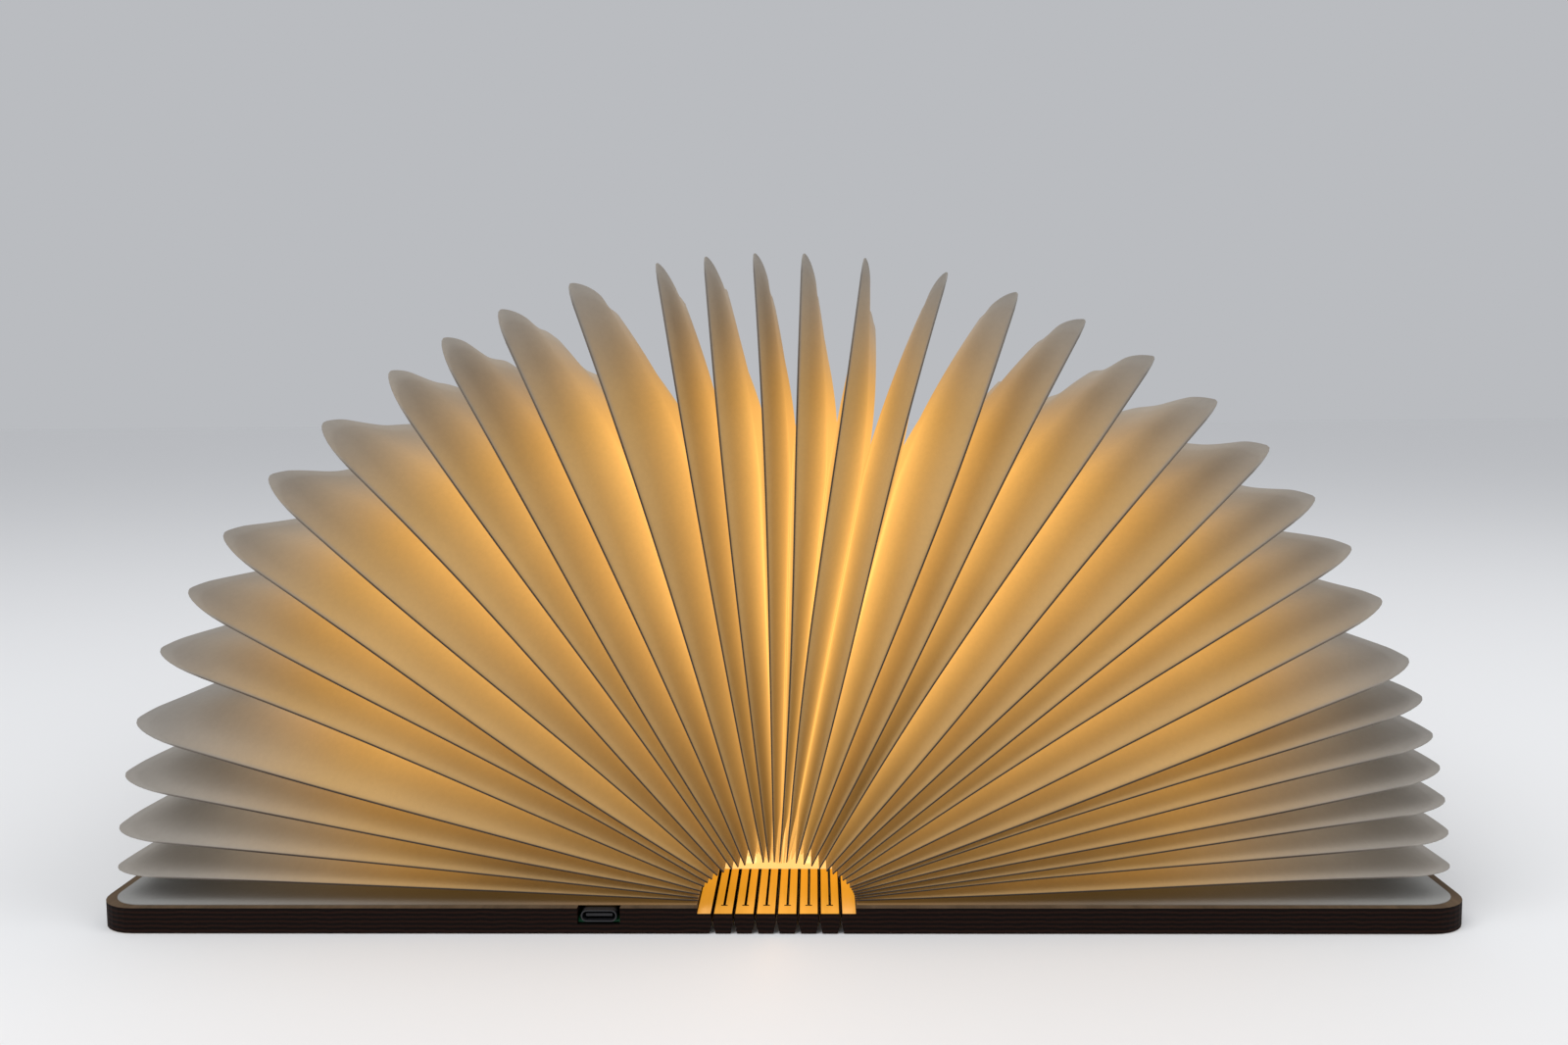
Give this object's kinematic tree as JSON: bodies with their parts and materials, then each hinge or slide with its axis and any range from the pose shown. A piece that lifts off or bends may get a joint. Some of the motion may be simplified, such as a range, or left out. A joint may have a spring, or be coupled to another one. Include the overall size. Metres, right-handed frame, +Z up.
{
  "type": "folding book lamp",
  "caption": "Book-shaped folding lamp, lying open: wooden covers joined by a kerfed living-hinge spine, with a lit fan of paper leaves.",
  "frame": {"origin": "centre of the footprint of the open lamp, on the surface that it lies on", "axes": "+X across the open covers towards the right one, +Y along the spine away from the charging socket, +Z up through the middle leaf"},
  "size_m": [0.3494, 0.215, 0.1699],
  "materials": {
    "burnt_plywood": "laser-cut birch plywood, burnt dark along its edges",
    "plywood": "thin birch panel",
    "spine_wood": "birch plywood with laser-cut kerfs",
    "end_paper": "matte fibre paper",
    "leaf_paper": "translucent fibre paper, lit from the spine",
    "light_board": "white flexible board",
    "light_chip": "warm white light chips, switched on",
    "battery_pouch": "foil pouch",
    "wire": "insulated wire",
    "circuit": "fibreglass circuit board",
    "socket_metal": "black-plated stamped shell",
    "black_plastic": "moulded package",
    "magnet": "nickel-plated disc"
  },
  "bodies": {
    "left_cover": {"left_board": "burnt_plywood", "left_panel": "plywood", "left_endpaper": "end_paper", "battery": "battery_pouch", "battery_lead": "wire", "controller_board": "circuit", "usb_socket": "socket_metal", "hall_switch": "black_plastic", "led_lead": "wire", "left_magnets": "magnet", "led_board": "light_board"},
    "spine_1": {"rib_1": "spine_wood"},
    "spine_2": {"rib_2": "spine_wood", "led_row_left": "light_chip"},
    "spine_3": {"rib_3": "spine_wood"},
    "spine_4": {"rib_4": "spine_wood"},
    "spine_5": {"rib_5": "spine_wood", "led_row_right": "light_chip"},
    "spine_6": {"rib_6": "spine_wood"},
    "right_cover": {"right_board": "burnt_plywood", "right_panel": "plywood", "right_endpaper": "end_paper", "right_magnets": "magnet", "switch_magnet": "magnet"},
    "leaf_01": {"leaf_01": "leaf_paper"},
    "leaf_02": {"leaf_02": "leaf_paper"},
    "leaf_03": {"leaf_03": "leaf_paper"},
    "leaf_04": {"leaf_04": "leaf_paper"},
    "leaf_05": {"leaf_05": "leaf_paper"},
    "leaf_06": {"leaf_06": "leaf_paper"},
    "leaf_07": {"leaf_07": "leaf_paper"},
    "leaf_08": {"leaf_08": "leaf_paper"},
    "leaf_09": {"leaf_09": "leaf_paper"},
    "leaf_10": {"leaf_10": "leaf_paper"},
    "leaf_11": {"leaf_11": "leaf_paper"},
    "leaf_12": {"leaf_12": "leaf_paper"},
    "leaf_13": {"leaf_13": "leaf_paper"},
    "leaf_14": {"leaf_14": "leaf_paper"},
    "leaf_15": {"leaf_15": "leaf_paper"},
    "leaf_16": {"leaf_16": "leaf_paper"},
    "leaf_17": {"leaf_17": "leaf_paper"},
    "leaf_18": {"leaf_18": "leaf_paper"},
    "leaf_19": {"leaf_19": "leaf_paper"},
    "leaf_20": {"leaf_20": "leaf_paper"},
    "leaf_21": {"leaf_21": "leaf_paper"},
    "leaf_22": {"leaf_22": "leaf_paper"},
    "leaf_23": {"leaf_23": "leaf_paper"},
    "leaf_24": {"leaf_24": "leaf_paper"},
    "leaf_25": {"leaf_25": "leaf_paper"},
    "leaf_26": {"leaf_26": "leaf_paper"},
    "leaf_27": {"leaf_27": "leaf_paper"},
    "leaf_28": {"leaf_28": "leaf_paper"},
    "leaf_29": {"leaf_29": "leaf_paper"},
    "leaf_30": {"leaf_30": "leaf_paper"},
    "leaf_31": {"leaf_31": "leaf_paper"},
    "leaf_32": {"leaf_32": "leaf_paper"},
    "leaf_33": {"leaf_33": "leaf_paper"},
    "leaf_34": {"leaf_34": "leaf_paper"}
  },
  "joints": [
    {"name": "fold", "type": "hinge", "parent": "left_cover", "child": "spine_1", "pos_m": [-0.0162, 0, 0.0033], "axis": [0, -1, 0], "range_deg": [-25.71, 25.71], "deforming": ["led_board"]},
    {"name": "fold_2", "type": "hinge", "parent": "spine_1", "child": "spine_2", "pos_m": [-0.0108, 0, 0.0033], "axis": [0, -1, 0], "range_deg": [-29.5, 29.5]},
    {"name": "fold_3", "type": "hinge", "parent": "spine_2", "child": "spine_3", "pos_m": [-0.0054, 0, 0.0033], "axis": [0, -1, 0], "range_deg": [-29.5, 29.5]},
    {"name": "fold_4", "type": "hinge", "parent": "spine_3", "child": "spine_4", "pos_m": [0, 0, 0.0033], "axis": [0, -1, 0], "range_deg": [-29.5, 29.5]},
    {"name": "fold_5", "type": "hinge", "parent": "spine_4", "child": "spine_5", "pos_m": [0.0054, 0, 0.0033], "axis": [0, -1, 0], "range_deg": [-29.5, 29.5]},
    {"name": "fold_6", "type": "hinge", "parent": "spine_5", "child": "spine_6", "pos_m": [0.0108, 0, 0.0033], "axis": [0, -1, 0], "range_deg": [-29.5, 29.5]},
    {"name": "fold_7", "type": "hinge", "parent": "spine_6", "child": "right_cover", "pos_m": [0.0162, 0, 0.0033], "axis": [0, -1, 0], "range_deg": [-29.5, 29.5]},
    {"name": "turn_01", "type": "hinge", "parent": "left_cover", "child": "leaf_01", "pos_m": [-0.01284, 0, 0.00372], "axis": [0, -1, 0], "range_deg": [-3.37, 3.37]},
    {"name": "turn_02", "type": "hinge", "parent": "left_cover", "child": "leaf_02", "pos_m": [-0.01555, 0, 0.00501], "axis": [0, -1, 0], "range_deg": [-7.38, 7.38]},
    {"name": "turn_03", "type": "hinge", "parent": "left_cover", "child": "leaf_03", "pos_m": [-0.01533, 0, 0.00528], "axis": [0, -1, 0], "range_deg": [-13.12, 13.12]},
    {"name": "turn_04", "type": "hinge", "parent": "spine_1", "child": "leaf_04", "pos_m": [-0.01857, 0, 0.00049], "axis": [0, -1, 0], "range_deg": [-11.64, 11.64]},
    {"name": "turn_05", "type": "hinge", "parent": "spine_1", "child": "leaf_05", "pos_m": [-0.03377, 0, -0.00829], "axis": [0, -1, 0], "range_deg": [-3.61, 3.61]},
    {"name": "turn_06", "type": "hinge", "parent": "spine_1", "child": "leaf_06", "pos_m": [0.00457, 0, 0.01353], "axis": [0, -1, 0], "range_deg": [-4.27, 4.27]},
    {"name": "turn_07", "type": "hinge", "parent": "spine_1", "child": "leaf_07", "pos_m": [-0.00621, 0, 0.00692], "axis": [0, -1, 0], "range_deg": [-11.15, 11.15]},
    {"name": "turn_08", "type": "hinge", "parent": "spine_2", "child": "leaf_08", "pos_m": [-0.01556, 0, 0.00125], "axis": [0, -1, 0], "range_deg": [-11.89, 11.89]},
    {"name": "turn_09", "type": "hinge", "parent": "spine_2", "child": "leaf_09", "pos_m": [-0.02587, 0, -0.00094], "axis": [0, -1, 0], "range_deg": [-4.43, 4.43]},
    {"name": "turn_10", "type": "hinge", "parent": "spine_2", "child": "leaf_10", "pos_m": [0.00606, 0, 0.00372], "axis": [0, -1, 0], "range_deg": [-5.17, 5.17]},
    {"name": "turn_11", "type": "hinge", "parent": "spine_2", "child": "leaf_11", "pos_m": [-0.00204, 0, 0.00299], "axis": [0, -1, 0], "range_deg": [-11.48, 11.48]},
    {"name": "turn_12", "type": "hinge", "parent": "spine_3", "child": "leaf_12", "pos_m": [-0.00749, 0, 0.00453], "axis": [0, -1, 0], "range_deg": [-12.71, 12.71]},
    {"name": "turn_13", "type": "hinge", "parent": "spine_3", "child": "leaf_13", "pos_m": [-0.0109, 0, 0.00886], "axis": [0, -1, 0], "range_deg": [-5.25, 5.25]},
    {"name": "turn_14", "type": "hinge", "parent": "spine_3", "child": "leaf_14", "pos_m": [0.00561, 0, -0.00861], "axis": [0, -1, 0], "range_deg": [-4.35, 4.35]},
    {"name": "turn_15", "type": "hinge", "parent": "spine_3", "child": "leaf_15", "pos_m": [0.00112, 0, -0.00166], "axis": [0, -1, 0], "range_deg": [-8.94, 8.94]},
    {"name": "turn_16", "type": "hinge", "parent": "spine_3", "child": "leaf_16", "pos_m": [0.00022, 0, 0.00042], "axis": [0, -1, 0], "range_deg": [-13.53, 13.53]},
    {"name": "turn_17", "type": "hinge", "parent": "spine_4", "child": "leaf_17", "pos_m": [0.00047, 0, 0.00599], "axis": [0, -1, 0], "range_deg": [-12.38, 12.38]},
    {"name": "turn_18", "type": "hinge", "parent": "spine_4", "child": "leaf_18", "pos_m": [-0.00015, 0, 0.00882], "axis": [0, -1, 0], "range_deg": [-6.65, 6.65]},
    {"name": "turn_19", "type": "hinge", "parent": "spine_4", "child": "leaf_19", "pos_m": [0.01067, 0, -0.02278], "axis": [0, -1, 0], "range_deg": [-2.38, 2.38]},
    {"name": "turn_20", "type": "hinge", "parent": "spine_4", "child": "leaf_20", "pos_m": [0.00555, 0, -0.00319], "axis": [0, -1, 0], "range_deg": [-9.27, 9.27]},
    {"name": "turn_21", "type": "hinge", "parent": "spine_5", "child": "leaf_21", "pos_m": [0.00623, 0, 0.00778], "axis": [0, -1, 0], "range_deg": [-14.35, 14.35]},
    {"name": "turn_22", "type": "hinge", "parent": "spine_5", "child": "leaf_22", "pos_m": [0.00575, 0, 0.01434], "axis": [0, -1, 0], "range_deg": [-6.89, 6.89]},
    {"name": "turn_23", "type": "hinge", "parent": "spine_6", "child": "leaf_23", "pos_m": [0.01102, 0, 0.00607], "axis": [0, -1, 0], "range_deg": [-28.93, 28.93]},
    {"name": "turn_24", "type": "hinge", "parent": "spine_5", "child": "leaf_24", "pos_m": [0.01102, 0, -0.0068], "axis": [0, -1, 0], "range_deg": [-8.45, 8.45]},
    {"name": "turn_25", "type": "hinge", "parent": "spine_6", "child": "leaf_25", "pos_m": [0.01208, 0, 0.00864], "axis": [0, -1, 0], "range_deg": [-15.17, 15.17]},
    {"name": "turn_26", "type": "hinge", "parent": "spine_6", "child": "leaf_26", "pos_m": [0.01236, 0, 0.01227], "axis": [0, -1, 0], "range_deg": [-8.86, 8.86]},
    {"name": "turn_27", "type": "hinge", "parent": "spine_6", "child": "leaf_27", "pos_m": [0.01211, 0, 0.0375], "axis": [0, -1, 0], "range_deg": [-2.55, 2.55]},
    {"name": "turn_28", "type": "hinge", "parent": "spine_6", "child": "leaf_28", "pos_m": [0.01293, 0, -0.00984], "axis": [0, -1, 0], "range_deg": [-5.33, 5.33]},
    {"name": "turn_29", "type": "hinge", "parent": "spine_6", "child": "leaf_29", "pos_m": [0.01437, 0, -0.00273], "axis": [0, -1, 0], "range_deg": [-9.35, 9.35]},
    {"name": "turn_30", "type": "hinge", "parent": "spine_6", "child": "leaf_30", "pos_m": [0.015, 0, -0.00003], "axis": [0, -1, 0], "range_deg": [-13.37, 13.37]},
    {"name": "turn_31", "type": "hinge", "parent": "right_cover", "child": "leaf_31", "pos_m": [0.01746, 0, 0.0055], "axis": [0, -1, 0], "range_deg": [-13.69, 13.69]},
    {"name": "turn_32", "type": "hinge", "parent": "right_cover", "child": "leaf_32", "pos_m": [0.01703, 0, 0.00533], "axis": [0, -1, 0], "range_deg": [-10.25, 10.25]},
    {"name": "turn_33", "type": "hinge", "parent": "right_cover", "child": "leaf_33", "pos_m": [0.01609, 0, 0.00496], "axis": [0, -1, 0], "range_deg": [-6.81, 6.81]},
    {"name": "turn_34", "type": "hinge", "parent": "right_cover", "child": "leaf_34", "pos_m": [0.01284, 0, 0.00372], "axis": [0, -1, 0], "range_deg": [-3.37, 3.37]}
  ],
  "couplings": [
    {"joint": "fold_2", "follows": "fold", "ratio": 1},
    {"joint": "fold_3", "follows": "fold", "ratio": 1},
    {"joint": "fold_4", "follows": "fold", "ratio": 1},
    {"joint": "fold_5", "follows": "fold", "ratio": 1},
    {"joint": "fold_6", "follows": "fold", "ratio": 1},
    {"joint": "fold_7", "follows": "fold", "ratio": 1},
    {"joint": "turn_01", "follows": "fold", "ratio": 0.097222},
    {"joint": "turn_02", "follows": "fold", "ratio": 0.23333},
    {"joint": "turn_03", "follows": "fold", "ratio": 0.42778},
    {"joint": "turn_04", "follows": "fold", "ratio": -0.37778},
    {"joint": "turn_05", "follows": "fold", "ratio": -0.10556},
    {"joint": "turn_06", "follows": "fold", "ratio": 0.12778},
    {"joint": "turn_07", "follows": "fold", "ratio": 0.36111},
    {"joint": "turn_08", "follows": "fold", "ratio": -0.38611},
    {"joint": "turn_09", "follows": "fold", "ratio": -0.13333},
    {"joint": "turn_10", "follows": "fold", "ratio": 0.15833},
    {"joint": "turn_11", "follows": "fold", "ratio": 0.37222},
    {"joint": "turn_12", "follows": "fold", "ratio": -0.41389},
    {"joint": "turn_13", "follows": "fold", "ratio": -0.16111},
    {"joint": "turn_14", "follows": "fold", "ratio": 0.13056},
    {"joint": "turn_15", "follows": "fold", "ratio": 0.28611},
    {"joint": "turn_16", "follows": "fold", "ratio": 0.44167},
    {"joint": "turn_17", "follows": "fold", "ratio": -0.40278},
    {"joint": "turn_18", "follows": "fold", "ratio": -0.20833},
    {"joint": "turn_19", "follows": "fold", "ratio": 0.063889},
    {"joint": "turn_20", "follows": "fold", "ratio": 0.29722},
    {"joint": "turn_21", "follows": "fold", "ratio": -0.46944},
    {"joint": "turn_22", "follows": "fold", "ratio": -0.21667},
    {"joint": "turn_23", "follows": "fold", "ratio": -0.96389},
    {"joint": "turn_24", "follows": "fold", "ratio": 0.26944},
    {"joint": "turn_25", "follows": "fold", "ratio": -0.49722},
    {"joint": "turn_26", "follows": "fold", "ratio": -0.28333},
    {"joint": "turn_27", "follows": "fold", "ratio": -0.069444},
    {"joint": "turn_28", "follows": "fold", "ratio": 0.16389},
    {"joint": "turn_29", "follows": "fold", "ratio": 0.3},
    {"joint": "turn_30", "follows": "fold", "ratio": 0.43611},
    {"joint": "turn_31", "follows": "fold", "ratio": -0.44722},
    {"joint": "turn_32", "follows": "fold", "ratio": -0.33056},
    {"joint": "turn_33", "follows": "fold", "ratio": -0.21389},
    {"joint": "turn_34", "follows": "fold", "ratio": -0.097222}
  ]
}
